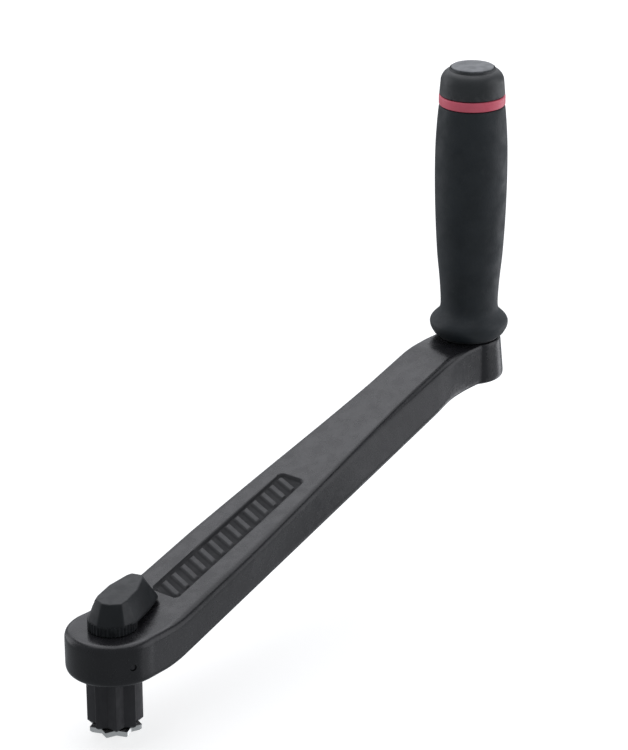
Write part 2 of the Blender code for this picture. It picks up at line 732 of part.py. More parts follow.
def build_top_fixings(axis):
    bottom = GRIP_SPINDLE_TOP + GAP
    washer_top = bottom + TOP_WASHER_THICKNESS
    washer = tube(
        "retaining_washer", TOP_SCREW_RADIUS + GAP, TOP_WASHER_RADIUS, bottom, washer_top, parent=axis
    )
    seat = washer_top + GAP
    head_top = seat + TOP_SCREW_HEAD
    chamfer = 0.6 * MM
    screw = turned(
        "retaining_screw",
        [
            (0.0, head_top),
            (TOP_SCREW_HEAD_RADIUS - chamfer, head_top),
            (TOP_SCREW_HEAD_RADIUS, head_top - chamfer),
            (TOP_SCREW_HEAD_RADIUS, seat),
            (TOP_SCREW_RADIUS, seat),
            (TOP_SCREW_RADIUS, GRIP_SPINDLE_TOP - TOP_SCREW_DEPTH),
            (0.0, GRIP_SPINDLE_TOP - TOP_SCREW_DEPTH),
        ],
        24,
        axis,
    )
    key = prism("retaining_key", 6, 2.9 * MM, seat + 1.6 * MM, head_top + MM)
    key.parent = axis
    for piece in (washer, cut(screw, key)):
        finish(piece, STAINLESS)


def build_grip_core(axis):
    """A tube with an inner step that each bush stops against."""
    step_bottom = LOWER_BEARING_BOTTOM + BEARING_LENGTH + GAP
    step_top = UPPER_BEARING_BOTTOM - GAP
    profile = [
        (BEARING_BORE, CORE_TOP),
        (CORE_RADIUS, CORE_TOP),
        (CORE_RADIUS, CORE_BOTTOM),
        (BEARING_BORE, CORE_BOTTOM),
        (BEARING_BORE, step_bottom),
        (CORE_STEP_RADIUS, step_bottom),
        (CORE_STEP_RADIUS, step_top),
        (BEARING_BORE, step_top),
    ]
    return finish(turned("grip_core", profile, ROUND_STEPS, axis), NYLON)


def build_grip_sleeve(axis):
    """The soft hand grip: a waist above the flange, swelling towards the top."""
    bore = CORE_RADIUS + GAP
    outside = [(radius * MM, height * MM) for radius, height in SLEEVE_OUTLINE]
    profile = [(bore, SLEEVE_TOP), *outside, (bore, SLEEVE_BOTTOM)]
    return finish(turned("grip_sleeve", profile, ROUND_STEPS, axis), SOFT_RUBBER)


def build_accent_ring(axis):
    ring = tube("accent_ring", CORE_RADIUS + GAP, RING_RADIUS, RING_BOTTOM, RING_TOP, ROUND_STEPS, axis)
    return finish(ring, RED_PLASTIC)


def build_grip_cap(axis):
    """A domed cap with a spigot that plugs the core, and a shallow recess for the disc on top."""
    recess, spigot = DISC_RADIUS + GAP, BEARING_BORE - GAP
    recess_floor = CAP_TOP - DISC_RECESS
    roof_under = CAP_BOTTOM + CAP_ROOF
    profile = [(0.0, recess_floor), (recess, recess_floor), (recess, CAP_TOP - DISC_RECESS / 2)]
    profile += arc(CAP_RIM_RADIUS - CAP_CROWN, recess_floor - CAP_CROWN, CAP_CROWN, 70, 0, 5)
    profile += [
        (CAP_FOOT_RADIUS, CAP_BOTTOM),
        (spigot, CAP_BOTTOM),
        (spigot, CAP_SPIGOT_BOTTOM),
        (CAP_SPIGOT_BORE, CAP_SPIGOT_BOTTOM),
        (CAP_SPIGOT_BORE, roof_under),
        (0.0, roof_under),
    ]
    return finish(turned("grip_cap", profile, ROUND_STEPS, axis), NYLON)


def build_cap_disc(axis):
    bottom = CAP_TOP - DISC_RECESS + GAP
    chamfer = 0.4 * MM
    profile = [
        (0.0, CAP_TOP),
        (DISC_RADIUS - chamfer, CAP_TOP),
        (DISC_RADIUS, CAP_TOP - chamfer),
        (DISC_RADIUS, bottom),
        (0.0, bottom),
    ]
    cap_disc = turned("cap_disc", profile, ROUND_STEPS, axis)
    return finish(cap_disc, NYLON)


def build_lock(axis):
    build_lock_spindle(axis)
    build_lock_plate(axis)
    build_lock_plate_screw(axis)
    lever_axis = empty_at("lever_axis", (0.0, 0.0, 0.0))
    lever_axis.parent = axis
    lever_axis.rotation_euler.z = LEVER_ANGLE
    build_lever(lever_axis)
    build_grub_screw(lever_axis)


def build_grip(axis):
    build_grip_spindle(axis)
    build_boss_fixings(axis)
    build_bearings(axis)
    build_top_fixings(axis)
    build_grip_core(axis)
    build_grip_sleeve(axis)
    build_accent_ring(axis)
    build_grip_cap(axis)
    build_cap_disc(axis)


def main():
    build_arm()
    build_drive_stud()
    build_retaining_pin()
    build_spindle_bushes()
    build_o_ring()
    build_return_spring()
    lock_axis = empty_at("lock_axis", (0.0, 0.0, 0.0))
    build_lock(lock_axis)
    grip_axis = empty_at("grip_axis", (AXIS_SPACING, 0.0, 0.0))
    build_grip(grip_axis)


main()
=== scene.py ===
"""Looks for the lock-in winch handle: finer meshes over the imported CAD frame, procedural finishes, a pale
floor and soft studio light. Metres, +Z up. Places come from the frame, and shapes from the sizes below.
"""

import json
from math import atan2, cos, degrees, pi, radians, sin, sqrt

import bmesh
import bpy
import numpy as np
from mathutils import Matrix, Vector


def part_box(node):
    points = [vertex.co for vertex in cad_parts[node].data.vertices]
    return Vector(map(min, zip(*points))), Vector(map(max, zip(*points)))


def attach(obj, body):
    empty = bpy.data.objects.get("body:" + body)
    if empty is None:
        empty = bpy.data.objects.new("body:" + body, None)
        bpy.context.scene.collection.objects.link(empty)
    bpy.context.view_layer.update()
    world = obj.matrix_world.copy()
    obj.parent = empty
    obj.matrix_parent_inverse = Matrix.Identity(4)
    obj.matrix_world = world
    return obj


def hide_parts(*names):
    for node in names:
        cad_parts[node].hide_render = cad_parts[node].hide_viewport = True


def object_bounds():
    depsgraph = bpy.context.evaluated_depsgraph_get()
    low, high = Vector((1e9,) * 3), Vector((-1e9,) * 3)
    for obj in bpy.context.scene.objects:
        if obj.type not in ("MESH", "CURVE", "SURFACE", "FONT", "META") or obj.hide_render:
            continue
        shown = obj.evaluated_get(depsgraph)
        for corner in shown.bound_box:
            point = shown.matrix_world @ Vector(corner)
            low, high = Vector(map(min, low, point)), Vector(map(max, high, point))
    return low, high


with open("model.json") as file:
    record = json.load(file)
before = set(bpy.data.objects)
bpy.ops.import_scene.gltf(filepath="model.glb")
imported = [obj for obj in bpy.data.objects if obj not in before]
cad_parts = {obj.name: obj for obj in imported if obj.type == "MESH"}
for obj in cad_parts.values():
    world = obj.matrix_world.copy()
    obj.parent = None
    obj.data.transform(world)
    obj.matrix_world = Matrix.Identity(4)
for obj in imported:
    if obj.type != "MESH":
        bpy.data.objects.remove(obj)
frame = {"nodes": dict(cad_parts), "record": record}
CAD_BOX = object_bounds()
MM = 0.001

# The camera's direction from the drive axis, its distance, and how far beside and above the axis it aims
CAMERA_AZIMUTH = radians(-50.5)
CAMERA_ELEVATION = radians(22.0)
CAMERA_ROLL = radians(-0.3)
CAMERA_DISTANCE = 1.325
CAMERA_AIM_RIGHT = 0.0864
CAMERA_AIM_UP = 0.1263
CAMERA_LENS = 147.39
CAMERA_SENSOR = 36.0
CAMERA_CLIP_START = 0.05
CAMERA_CLIP_END = 60.0

# The floor, which glows so that it looks nearly white, and the even sky
FLOOR_SIZE = 50.0
FLOOR_GRID = 8
FLOOR_COLOUR = (0.5, 0.5, 0.5)
FLOOR_ROUGHNESS = 0.9
FLOOR_GLOW = 0.72
FLOOR_DIP = 0.2 * MM
WORLD_COLOUR = (0.9, 0.95, 1.0)
WORLD_STRENGTH = 0.35

# Each softbox: how far it stands from the handle's middle to the camera's right, away from the camera and
# up, then its width and height, and its radiance
LIGHT_COLOUR = (0.955, 0.955, 1.0)
SOFTBOXES = {
    "overhead": ((0.0, 0.7, 1.9), (2.2, 2.2), 1.35),
    "behind": ((0.0, 2.2, 1.35), (3.6, 2.0), 0.78),
    "right": ((1.8, 0.1, 0.35), (1.4, 1.6), 1.1),
    "right_low": ((1.5, 0.1, -0.78), (1.4, 0.65), 0.4),
    "right_edge": ((1.5, 1.2, -0.65), (0.7, 1.2), 1.6),
    "left": ((-1.7, 0.8, 0.35), (1.2, 1.6), 1.1),
}

# The forged arm
HEAD_RADIUS = 20.8 * MM
HEAD_TOP = 19.6 * MM
HEAD_TOP_ROUND = 3.3 * MM
HEAD_BOTTOM_ROUND = 3.0 * MM
ROOF_HOLE_RADIUS = 6.8 * MM
SOCKET_TOP = 12.6 * MM
ARM_THICKNESS = 18.7 * MM
RISE_START = 21.0 * MM
RISE_END = 223.5 * MM
RISE_EASE = 7.0 * MM
SIDE_AT_HEAD = 20.7 * MM
SIDE_AT_BOSS = 16.4 * MM
SIDE_DRAFT = 4.0  # degrees
WAIST_START = 206.0 * MM
WAIST_END = 238.0 * MM
WAIST_HALF = 14.2 * MM
TOP_HALF_WIDE = 20.5 * MM
TOP_HALF_NARROW = 13.3 * MM
TAPER_START = 44.0 * MM
TAPER_END = 192.0 * MM
TAPER_EASED = 0.45  # the share of the taper that is a smooth step, the rest being straight
EDGE_ROUND_AT_HEAD = 3.2 * MM
EDGE_ROUND_AT_BOSS = 1.4 * MM
BELLY_ROUND = 2.6 * MM
SECTION_STEP = 3.0 * MM
BOSS_BOTTOM = 57.2 * MM
BOSS_TOP = 77.5 * MM
BOSS_TOP_RADIUS = 15.3 * MM
BOSS_BOTTOM_RADIUS = 16.8 * MM
BOSS_TOP_ROUND = 0.8 * MM
BOSS_BOTTOM_ROUND = 1.8 * MM
BORE_RADIUS = 5.3 * MM
NUT_WELL_RADIUS = 10.0 * MM
NUT_WELL_TOP = 64.5 * MM
FORGING_VOXEL = 0.55 * MM
FORGING_SMOOTHING = 16
RISE_SLOPE = (BOSS_TOP - HEAD_TOP) / (RISE_END - RISE_START)

# The arm's recessed panel and the plain raised bars in it
PANEL_START = 33.0 * MM
PANEL_END = 121.0 * MM
PANEL_HALF_NEAR = 7.6 * MM
PANEL_HALF_FAR = 7.1 * MM
PANEL_CORNER = 2.6 * MM
PANEL_DEPTH = 1.1 * MM
PANEL_WALL = 0.8 * MM
BAR_COUNT = 14
BAR_WIDTH = 2.9 * MM
BAR_SLANT = 0.35
BAR_MARGIN = 1.6 * MM
BAR_HEIGHT = 0.75 * MM
PRESS_REACH = 3.0 * MM  # how far below the arm's top the press still moves the mesh
PRESS_TOP = 0.4  # the share of the press above which a point counts as the panel's

# The groove along each top edge of the arm, deepest at the boss
GROOVE_START = 105.0 * MM
GROOVE_END = 222.0 * MM
GROOVE_OUT = 238.0 * MM
GROOVE_INSET = 0.2 * MM
GROOVE_HALF = 1.3 * MM
GROOVE_DEPTH = 1.5 * MM

# The drive star, its socket in the head, and the lock plate
STAR_HALF = 17.46 / 2 * MM
STAR_NOTCH_RELIEF = 0.06 * MM
STAR_EDGE = 0.35 * MM
STAR_CHAMFER = 0.9 * MM
STAR_CHAMFER_IN = 0.72 * MM
STAR_CORNERS = 16
SAME_CORNER = 0.01  # how far apart the ends of an upright edge may be, as a share of a corner's step
UPRIGHT_LEAST = 0.1 * MM  # the shortest edge that counts as upright
SOCKET_GAP = 0.3 * MM
STUD_WELL_RADIUS = 7.3 * MM
STUD_WELL_FLOOR = -13.0 * MM
STUD_NECK_RADIUS = 5.0 * MM
STUD_NECK_BOTTOM = -15.0 * MM
STUD_BUSH_RADIUS = 6.3 * MM
PIN_ANGLE = radians(-112.5)
PIN_HEIGHT = 9.3 * MM
PIN_HOLE_RADIUS = 1.5 * MM
PIN_HOLE_IN_HEAD = 9.0 * MM  # where the hole in the head starts, out from the drive axis
PIN_HOLE_IN_STUD = 6.0 * MM
PIN_HOLE_STUD_END = 15.0 * MM
LOCK_ANGLE = radians(22.5)
TANG_HOLE_CORNER = 5.8 / sqrt(2) * MM

# The thumb lever. Its outlines run along one side from tail to tip, in millimetres from the drive axis.
LEVER_ANGLE = radians(18.0)
LEVER_SHOULDER = 1.5 * MM  # the height of its straight sides
LEVER_BASE = 22.7 * MM
LEVER_BASE_OUTLINE = [(-10.6, 2.2), (-6.6, 8.6), (0.0, 11.2), (14.0, 11.2), (26.6, 9.8), (29.4, 6.6)]
LEVER_RIDGE_OUTLINE = [(-6.0, 1.8), (-3.4, 6.3), (1.0, 6.9), (12.0, 6.6), (23.6, 3.7), (26.2, 2.4)]
LEVER_EDGE = 0.7 * MM
LEVER_EDGE_ANGLE = 15.0
SKIRT_RADIUS = 10.8 * MM
SKIRT_FLUTES = 40
SKIRT_FLUTE_STEPS = 6
SKIRT_FLUTE_DEPTH = 0.35 * MM
LEVER_HOLLOW_RADIUS = 8.8 * MM
LEVER_HOLLOW_TOP = 21.4 * MM
SPINDLE_HOLE_RADIUS = 4.3 * MM
SPINDLE_HOLE_TOP = 27.3 * MM
GRUB_HEIGHT = 26.0 * MM
GRUB_HOLE_RADIUS = 2.1 * MM
GRUB_HOLE_START = 2.0 * MM
GRUB_HOLE_END = 16.0 * MM

# The grip
SLEEVE_BORE = 11.3 * MM
SLEEVE_STEPS = 6
SLEEVE_OUTLINE = [  # radius, and height above the sleeve's bottom, from the bottom up
    (15.9, 0.0),
    (16.7, 0.5),
    (17.5, 1.8),
    (18.35, 3.4),
    (18.7, 5.0),
    (18.6, 6.4),
    (17.7, 8.0),
    (16.2, 9.5),
    (14.7, 11.1),
    (13.9, 12.9),
    (13.7, 15.9),
    (13.9, 20.9),
    (14.5, 28.9),
    (15.5, 38.9),
    (16.2, 49.9),
    (16.7, 60.9),
    (17.0, 71.9),
    (17.1, 82.9),
    (16.95, 93.9),
    (16.4, 103.9),
    (15.8, 111.0),
    (15.5, 113.0),
    (15.1, 113.6),
]
RING_RADIUS = 15.6 * MM
RING_EDGE = 0.6 * MM
CAP_FOOT_RADIUS = 15.4 * MM
CAP_RIM_RADIUS = 14.9 * MM
CAP_CROWN = 6.0 * MM
CAP_CROWN_ANGLE = 70.0
CAP_EDGE = 0.3 * MM
CAP_SPIGOT = 8.3 * MM
CAP_SPIGOT_BORE = 6.8 * MM
CAP_ROOF = 2.0 * MM
CAP_BOTTOM_ABOVE_RING = 0.3 * MM
DISC_RECESS_GAP = 0.3 * MM
DISC_RECESS = 1.2 * MM
DISC_DOME = 0.25 * MM
DISC_SHOULDER_RISE = 0.2 * MM
DISC_EDGE = 0.4 * MM

# The nut under the boss
NUT_CHAMFER = 0.7 * MM
NUT_CONE_ABOVE = 0.01 * MM
NUT_CONE_OUTSIDE = 0.1 * MM

# How finely things are made
ROUND_STEPS = 128
SMALL_STEPS = 64
ROD_STEPS = 32
SHARP = 35.0  # edges over this angle in degrees look sharp
SHARP_ON_LEVER = 30.0
SHARP_ON_FLATS = 25.0
SHARP_ON_FORGING = 45.0
PAST = 5.0 * MM  # how far a cutter runs out of the piece it cuts
SLIGHTLY_PAST = 1.0 * MM
WELD = 0.001 * MM


# Meshes


def object_of(name, bm, angle=SHARP):
    """A smooth-shaded object with this mesh, sharp across edges over this angle."""
    bmesh.ops.recalc_face_normals(bm, faces=bm.faces)
    mesh = bpy.data.meshes.new(name)
    bm.to_mesh(mesh)
    bm.free()
    obj = bpy.data.objects.new(name, mesh)
    bpy.context.scene.collection.objects.link(obj)
    return shade(obj, angle)


def shade(obj, angle):
    obj.data.shade_smooth()
    obj.data.set_sharp_from_angle(angle=radians(angle))
    return obj


def lathe(name, profile, centre=(0.0, 0.0), steps=ROUND_STEPS, ripple=None):
    """A closed body turned about a vertical line, from (radius, height) points going round its section.
    Points on the axis become poles. ripple(turn, radius) may change a point's radius."""
    bm = bmesh.new()
    rings = []
    for radius, height in profile:
        if radius == 0.0:
            rings.append([bm.verts.new((centre[0], centre[1], height))])
            continue
        ring = []
        for i in range(steps):
            turn = 2 * pi * i / steps
            r = ripple(turn, radius) if ripple else radius
            ring.append(bm.verts.new((centre[0] + r * cos(turn), centre[1] + r * sin(turn), height)))
        rings.append(ring)
    pairs = list(zip(rings, rings[1:]))
    if profile[0][0] > 0.0:
        pairs.append((rings[-1], rings[0]))
    for one, two in pairs:
        for i in range(steps):
            j = (i + 1) % steps
            corners = [one[i % len(one)], one[j % len(one)], two[j % len(two)], two[i % len(two)]]
            corners = list(dict.fromkeys(corners))
            if len(corners) > 2:
                bm.faces.new(corners)
    return object_of(name, bm)


def stepped(name, top, steps, centre=(0.0, 0.0)):
    """A round cutter. From the top down, each of its steps is a radius and the height where it ends."""
    profile = [(0.0, top)]
    for radius, end in steps:
        profile += [(radius, top), (radius, end)]
        top = end
    profile.append((0.0, top))
    return lathe(name, profile, centre, SMALL_STEPS)


def arc(centre_radius, centre_height, radius, start, end, count):
    """Points of an arc in a section, between two angles in degrees from straight out."""
    angles = [radians(start + (end - start) * i / count) for i in range(count + 1)]
    return [(centre_radius + radius * cos(a), centre_height + radius * sin(a)) for a in angles]


def top_corner(radius, height, size, count, end=0.0):
    """A rounded outer corner at the top of a section, from the top down."""
    return arc(radius - size, height - size, size, 90, end, count)


def bottom_corner(radius, height, size, count):
    """A rounded outer corner at the bottom of a section, from the side down."""
    return arc(radius - size, height + size, size, 0, -90, count)


def smooth_value(before, start, end, after, t):
    """A Catmull-Rom curve from start at t = 0 to end at t = 1."""
    bend = 2 * before - 5 * start + 4 * end - after
    twist = 3 * start - before - 3 * end + after
    return 0.5 * (2 * start + (end - before) * t + bend * t**2 + twist * t**3)


def smooth_line(points, count):
    """A smooth line through points, with count steps from each one to the next."""
    padded = [points[0], *points, points[-1]]
    found = []
    for four in zip(padded, padded[1:], padded[2:], padded[3:]):
        for i in range(count):
            found.append(tuple(smooth_value(*values, i / count) for values in zip(*four)))
    return [*found, points[-1]]


def loft(name, sections, angle=SHARP, matrix=None):
    """A closed body through rings of points in the same order."""
    bm = bmesh.new()
    rings = [[bm.verts.new(point) for point in section] for section in sections]
    for one, two in zip(rings, rings[1:]):
        for i in range(len(one)):
            j = (i + 1) % len(one)
            bm.faces.new((one[i], one[j], two[j], two[i]))
    bm.faces.new(rings[0])
    bm.faces.new(rings[-1])
    if matrix:
        bm.transform(matrix)
    return object_of(name, bm, angle)


def prism(name, outline, bottom, top):
    return loft(name, [[(x, y, z) for x, y in outline] for z in (bottom, top)])


def applied(obj):
    """The object with its modifiers made real."""
    bpy.context.view_layer.update()
    mesh = bpy.data.meshes.new_from_object(obj.evaluated_get(bpy.context.evaluated_depsgraph_get()))
    obj.modifiers.clear()
    obj.data = mesh
    return obj


def welded(obj):
    """The object without the zero-length edges that a Boolean can leave."""
    bm = bmesh.new()
    bm.from_mesh(obj.data)
    bmesh.ops.remove_doubles(bm, verts=bm.verts, dist=WELD)
    bmesh.ops.dissolve_degenerate(bm, edges=bm.edges, dist=WELD)
    bm.to_mesh(obj.data)
    bm.free()
    return obj


def joined(obj, *others, operation="UNION"):
    """A Boolean of obj with each of the others, which are used up."""
    for other in others:
        boolean = obj.modifiers.new(other.name, "BOOLEAN")
        boolean.operation = operation
        boolean.solver = "MANIFOLD"
        boolean.object = other
    welded(applied(obj))
    for other in others:
        bpy.data.objects.remove(other, do_unlink=True)
    return obj


def cut(obj, *others):
    return joined(obj, *others, operation="DIFFERENCE")


def rod(name, start, end, radius):
    along = end - start
    place = Matrix.Translation((start + end) / 2)
    bm = bmesh.new()
    bmesh.ops.create_cone(
        bm,
        cap_ends=True,
        segments=ROD_STEPS,
        radius1=radius,
        radius2=radius,
        depth=along.length,
        matrix=place @ along.to_track_quat("Z", "Y").to_matrix().to_4x4(),
    )
    return object_of(name, bm)


def side_hole(name, turn, height, start, end, radius):
    """A cutter for a level hole at this angle and height, from start to end out from the drive axis."""
    out = Vector((cos(turn), sin(turn), 0.0))
    level = Vector((0.0, 0.0, height))
    return rod(name, level + out * start, level + out * end, radius)


def put(obj, body, slot, *nodes):
    """Finishes a piece: its material and slot, the body it rides on, and the CAD nodes it replaces."""
    obj.data.materials.clear()
    obj.data.materials.append(MATERIALS[slot])
    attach(obj, body)
    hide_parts(*nodes)
    return obj


def axis_of(node):
    """The X and Y of the middle of a node's box."""
    low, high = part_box(node)
    return (low.x + high.x) / 2, (low.y + high.y) / 2


def heights_of(node):
    """The bottom and top of a node's box."""
    low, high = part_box(node)
    return low.z, high.z


def radius_of(node):
    """Half the width of a node's box."""
    low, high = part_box(node)
    return (high.x - low.x) / 2


def between(start, end, share):
    return start + (end - start) * share


def ease(t):
    """A smooth step: 0 up to t = 0, and 1 from t = 1 on."""
    t = np.clip(t, 0.0, 1.0)
    return t * t * (3 - 2 * t)


# The arm


def run_past(x, start):
    """How far x is past start, with the bend there eased."""
    near = np.clip(x - start, -RISE_EASE, RISE_EASE)
    return (near + RISE_EASE) ** 2 / (4 * RISE_EASE) + np.maximum(x - start - RISE_EASE, 0.0)


def arm_top(x):
    return HEAD_TOP + RISE_SLOPE * (run_past(x, RISE_START) - run_past(x, RISE_END))


def arm_bottom(x):
    """The underside is parallel to the top between the head and the boss."""
    start = RISE_START - (HEAD_TOP - ARM_THICKNESS) / RISE_SLOPE
    end = start + BOSS_BOTTOM / RISE_SLOPE
    return RISE_SLOPE * (run_past(x, start) - run_past(x, end))


def taper(x):
    """0 to 1 along the arm as its top narrows."""
    share = np.clip((x - TAPER_START) / (TAPER_END - TAPER_START), 0.0, 1.0)
    return ease(share) * TAPER_EASED + share * (1 - TAPER_EASED)


def top_half(x):
    """Half the width of the arm's top."""
    return between(TOP_HALF_WIDE, TOP_HALF_NARROW, taper(x))


def arm_section(x, length):
    """A rounded section: the top narrows towards the boss more than the bottom does."""
    side = between(SIDE_AT_HEAD, SIDE_AT_BOSS, x / length)
    side = between(side, WAIST_HALF, ease((x - WAIST_START) / (WAIST_END - WAIST_START)))
    half = min(side, top_half(x))
    edge = between(EDGE_ROUND_AT_HEAD, EDGE_ROUND_AT_BOSS, taper(x))
    right = top_corner(half, arm_top(x), edge, 8, SIDE_DRAFT)
    right += bottom_corner(side, arm_bottom(x), BELLY_ROUND, 6)
    return [(x, y, z) for y, z in right] + [(x, -y, z) for y, z in reversed(right)]


def panel_edge(along, across):
    """How far a point is outside the panel's rounded outline, negative inside."""
    middle = (PANEL_START + PANEL_END) / 2
    share = np.clip((along - PANEL_START) / (PANEL_END - PANEL_START), 0.0, 1.0)
    past_end = np.abs(along - middle) - ((PANEL_END - PANEL_START) / 2 - PANEL_CORNER)
    past_side = np.abs(across) - (between(PANEL_HALF_NEAR, PANEL_HALF_FAR, share) - PANEL_CORNER)
    outside = np.hypot(np.maximum(past_end, 0.0), np.maximum(past_side, 0.0))
    return outside + np.minimum(np.maximum(past_end, past_side), 0.0) - PANEL_CORNER


def wall(outside):
    """1 inside an edge and 0 outside it, with a smooth wall between."""
    return ease(0.5 - outside / PANEL_WALL)


def panel_wave(along, across):
    """How much the panel lowers or raises the arm's top here: a recess with plain slanted bars."""
    edge = panel_edge(along, across)
    pitch = (PANEL_END - PANEL_START - 2 * BAR_MARGIN) / BAR_COUNT
    phase = (along - across * BAR_SLANT - PANEL_START - BAR_MARGIN) / pitch
    past_bar = np.abs(phase - np.floor(phase) - 0.5) * pitch - BAR_WIDTH / 2
    bars = wall(np.maximum(past_bar, edge + BAR_MARGIN))
    return BAR_HEIGHT * bars - PANEL_DEPTH * wall(edge)


def groove_wave(along, across):
    """How much the groove lowers the arm's top edge here."""
    from_line = (np.abs(across) - (top_half(along) - GROOVE_INSET)) / GROOVE_HALF
    fade = ease((along - GROOVE_START) / (GROOVE_END - GROOVE_START))
    fade = fade * ease((GROOVE_OUT - along) / (GROOVE_OUT - GROOVE_END))
    return -GROOVE_DEPTH * fade * np.exp(-from_line * from_line * 2)


def press_panel(obj):
    """Presses the panel and the grooves into the arm's top, and marks the panel, where the finish is duller
    and its colour is darkened as painted shade.
    """
    mesh = obj.data
    points = np.empty(len(mesh.vertices) * 3)
    mesh.vertices.foreach_get("co", points)
    points = points.reshape(-1, 3)
    along, across = points[:, 0].copy(), points[:, 1].copy()
    on_top = np.clip((points[:, 2] - arm_top(along)) / PRESS_REACH + 1.0, 0.0, 1.0)
    wave = panel_wave(along, across)
    points[:, 2] += on_top * (wave + groove_wave(along, across))
    mesh.vertices.foreach_set("co", points.reshape(-1))
    # How far each point is sunk into the panel: the mask for the painted shade and the duller finish in the
    # recess
    sunk = np.clip(-wave / PANEL_DEPTH, 0.0, 1.0) * (on_top > PRESS_TOP)
    panel = mesh.attributes.new("panel", "FLOAT", "POINT")
    panel.data.foreach_set("value", sunk.astype(np.float32))
    mesh.update()
    return obj


def star_outline(half, turn):
    """The sixteen corners of two crossed squares."""
    point = half * sqrt(2)
    notch = half / cos(pi / 8) - STAR_NOTCH_RELIEF
    found = []
    for i in range(STAR_CORNERS):
        radius = notch if i % 2 else point
        angle = turn + 2 * pi * i / STAR_CORNERS
        found.append((radius * cos(angle), radius * sin(angle)))
    return found


def star_body(name, bottom, top, half, turn=0.0, softened=False):
    """An eight-point prism. Softened, it has a chamfer round its bottom and rounded points."""
    levels = [(bottom, half), (top, half)]
    if softened:
        levels = [(bottom, half - STAR_CHAMFER_IN), (bottom + STAR_CHAMFER, half), (top, half)]
    sections = [[(x, y, z) for x, y in star_outline(size, turn)] for z, size in levels]
    body = loft(name, sections, SHARP_ON_FLATS)
    if softened:
        round_points(body, turn)
    return body


def round_points(body, turn):
    """Rounds the side edges at the star's eight points."""
    bm = bmesh.new()
    bm.from_mesh(body.data)
    points = [edge for edge in bm.edges if is_point_edge(edge, turn)]
    bmesh.ops.bevel(bm, geom=points, offset=STAR_EDGE, segments=3, profile=0.5, affect="EDGES")
    bm.to_mesh(body.data)
    bm.free()


def is_point_edge(edge, turn):
    """Whether this is an upright edge at one of the star's eight points, which are its even corners."""
    one, two = edge.verts[0].co, edge.verts[1].co
    corners = [degrees(atan2(v.y, v.x) - turn) / (360 / STAR_CORNERS) for v in (one, two)]
    apart = abs(corners[0] - corners[1])
    upright = min(apart, abs(apart - STAR_CORNERS)) < SAME_CORNER and abs(one.z - two.z) > UPRIGHT_LEAST
    return upright and round(corners[0]) % 2 == 0


def head_body(centre):
    profile = [(0.0, HEAD_TOP)]
    profile += top_corner(HEAD_RADIUS, HEAD_TOP, HEAD_TOP_ROUND, 10)
    profile += bottom_corner(HEAD_RADIUS, 0.0, HEAD_BOTTOM_ROUND, 10)
    profile.append((0.0, 0.0))
    return lathe("head_body", profile, centre)


def boss_body(centre):
    profile = [(0.0, BOSS_TOP)]
    profile += top_corner(BOSS_TOP_RADIUS, BOSS_TOP, BOSS_TOP_ROUND, 5)
    profile += bottom_corner(BOSS_BOTTOM_RADIUS, BOSS_BOTTOM, BOSS_BOTTOM_ROUND, 8)
    profile.append((0.0, BOSS_BOTTOM))
    return lathe("boss_body", profile, centre)


def forged(obj):
    """The object as one skin, with its inner corners blended."""
    remesh = obj.modifiers.new("forge", "REMESH")
    remesh.mode = "VOXEL"
    remesh.voxel_size = FORGING_VOXEL
    smooth = obj.modifiers.new("blend", "SMOOTH")
    smooth.factor = 0.5
    smooth.iterations = FORGING_SMOOTHING
    return applied(obj)


def build_arm():
    """A drop forging: fine rounded sections with the head and boss blended in, then its machined cuts."""
    head, boss = axis_of("drive_stud"), axis_of("accent_ring")
    length = boss[0] - head[0]
    count = round(length / SECTION_STEP)
    sections = [arm_section(length * i / count, length) for i in range(count + 1)]
    arm = loft("arm_forging", sections)
    joined(arm, head_body(head), boss_body(boss))
    press_panel(forged(arm))
    pin_hole_end = HEAD_RADIUS + PAST
    well = [(BORE_RADIUS, NUT_WELL_TOP), (NUT_WELL_RADIUS, BOSS_BOTTOM - PAST)]
    cut(
        arm,
        star_body("socket", -PAST, SOCKET_TOP, STAR_HALF + SOCKET_GAP),
        stepped("roof_hole", HEAD_TOP + PAST, [(ROOF_HOLE_RADIUS, SOCKET_TOP - PAST)], head),
        side_hole("pin", PIN_ANGLE, PIN_HEIGHT, PIN_HOLE_IN_HEAD, pin_hole_end, PIN_HOLE_RADIUS),
        stepped("bore", BOSS_TOP + PAST, well, boss),
    )
    shade(arm, SHARP_ON_FORGING)
    return put(arm, "arm_body", "forged_arm", "arm")


# The stud and its lock


def build_stud():
    """The star stud, hollow for the lock spindle, its spring and its lower bush."""
    bottom, top = heights_of("drive_stud")
    stud = star_body("star_stud", bottom, top, STAR_HALF, softened=True)
    well = (STUD_WELL_RADIUS, STUD_WELL_FLOOR)
    neck = (STUD_NECK_RADIUS, STUD_NECK_BOTTOM)
    bush = (STUD_BUSH_RADIUS, bottom - PAST)
    bore = stepped("stud_bore", top + PAST, [well, neck, bush])
    start, end = PIN_HOLE_IN_STUD, PIN_HOLE_STUD_END
    cut(stud, bore, side_hole("stud_pin", PIN_ANGLE, PIN_HEIGHT, start, end, PIN_HOLE_RADIUS))
    shade(stud, SHARP_ON_FLATS)
    return put(stud, "arm_body", "blackened_steel", "drive_stud")


def build_lock_star():
    bottom, top = heights_of("lock_plate")
    lock = star_body("lock_star", bottom, top, STAR_HALF, LOCK_ANGLE, softened=True)
    corners = [LOCK_ANGLE + i * pi / 2 for i in range(4)]
    square = [(TANG_HOLE_CORNER * cos(a), TANG_HOLE_CORNER * sin(a)) for a in corners]
    cut(lock, prism("tang_hole", square, bottom - SLIGHTLY_PAST, top + SLIGHTLY_PAST))
    shade(lock, SHARP_ON_FLATS)
    return put(lock, "lock", "stainless", "lock_plate")


def lever_ring(outline, height):
    """A whole ring of the lever from one side's outline in millimetres."""
    side = [(x * MM, y * MM, height) for x, y in outline]
    return side + [(x, -y, z) for x, y, z in reversed(side)]


